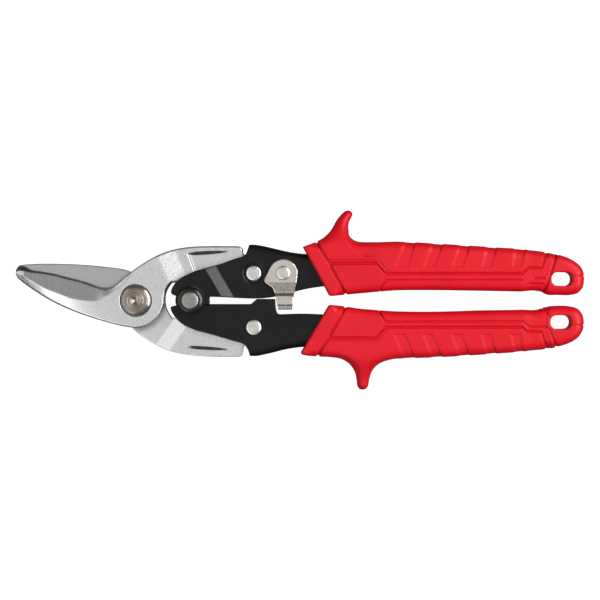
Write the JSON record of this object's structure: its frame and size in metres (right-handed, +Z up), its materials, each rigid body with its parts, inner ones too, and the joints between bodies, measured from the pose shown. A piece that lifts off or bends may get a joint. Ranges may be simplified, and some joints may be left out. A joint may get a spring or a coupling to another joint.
{
  "type": "aviation snips",
  "caption": "Compound-action sheet-metal snips with curved jaws, black channel handles, moulded grips with finger guards, hanging holes and a thumb latch.",
  "frame": {"origin": "middle of the underside, on the plane the closed tool lies on (the undersides of both grips and of the jaw pivot nut)", "axes": "+X along the tool towards the grip ends, jaws towards -X; +Y towards the upper handle, the one that carries the latch; +Z up out of the front face, the face with the bolt head and latch"},
  "size_m": [0.2538, 0.0799, 0.019],
  "materials": {
    "blade_steel": "satin forged and ground",
    "frame_black": "satin black coat",
    "grip_red": "matte moulded",
    "bolt_steel": "turned nickel plate",
    "rivet_steel": "satin nickel plate",
    "latch_nickel": "satin nickel plate",
    "spring_steel": "drawn wire",
    "washer_black": "black oxide"
  },
  "bodies": {
    "upper_handle": {"upper_handle_frame": "frame_black", "upper_grip": "grip_red", "handle_pivot_rivet": "rivet_steel", "handle_pivot_washer_front": "washer_black", "handle_pivot_washer_rear": "washer_black", "handle_pivot_sleeve": "spring_steel", "return_spring": "spring_steel", "upper_tang_rivet": "rivet_steel", "latch_rivet": "rivet_steel", "latch_spring_washer": "spring_steel"},
    "lower_handle": {"lower_handle_frame": "frame_black", "lower_grip": "grip_red", "lower_tang_rivet": "rivet_steel"},
    "front_blade": {"lower_jaw_blade": "blade_steel", "jaw_pivot_bolt": "bolt_steel", "jaw_pivot_washer": "bolt_steel", "jaw_pivot_nut": "bolt_steel"},
    "rear_blade": {"upper_jaw_blade": "blade_steel"},
    "latch": {"latch_lever": "latch_nickel"}
  },
  "joints": [
    {"name": "handle_pivot", "type": "hinge", "parent": "upper_handle", "child": "lower_handle", "pos_m": [-0.0489, -0.0002, 0.0095], "axis": [0, 0, -1], "range_deg": [0, 44], "deforming": ["return_spring"]},
    {"name": "upper_tang_pivot", "type": "hinge", "parent": "upper_handle", "child": "front_blade", "pos_m": [-0.0206, 0.01185, 0.0095], "axis": [0, 0, -1], "range_deg": [0, 10.91]},
    {"name": "jaw_pivot", "type": "hinge", "parent": "front_blade", "child": "rear_blade", "pos_m": [-0.0731, -0.0002, 0.0095], "axis": [0, 0, -1], "range_deg": [0, 22.2]},
    {"name": "latch_pivot", "type": "hinge", "parent": "upper_handle", "child": "latch", "pos_m": [-0.0075, 0.01195, 0.0095], "axis": [0, 0, 1], "range_deg": [0, 32]}
  ],
  "couplings": [
    {"joint": "upper_tang_pivot", "follows": "handle_pivot", "ratio": 0.248},
    {"joint": "jaw_pivot", "follows": "handle_pivot", "ratio": 0.5045}
  ]
}
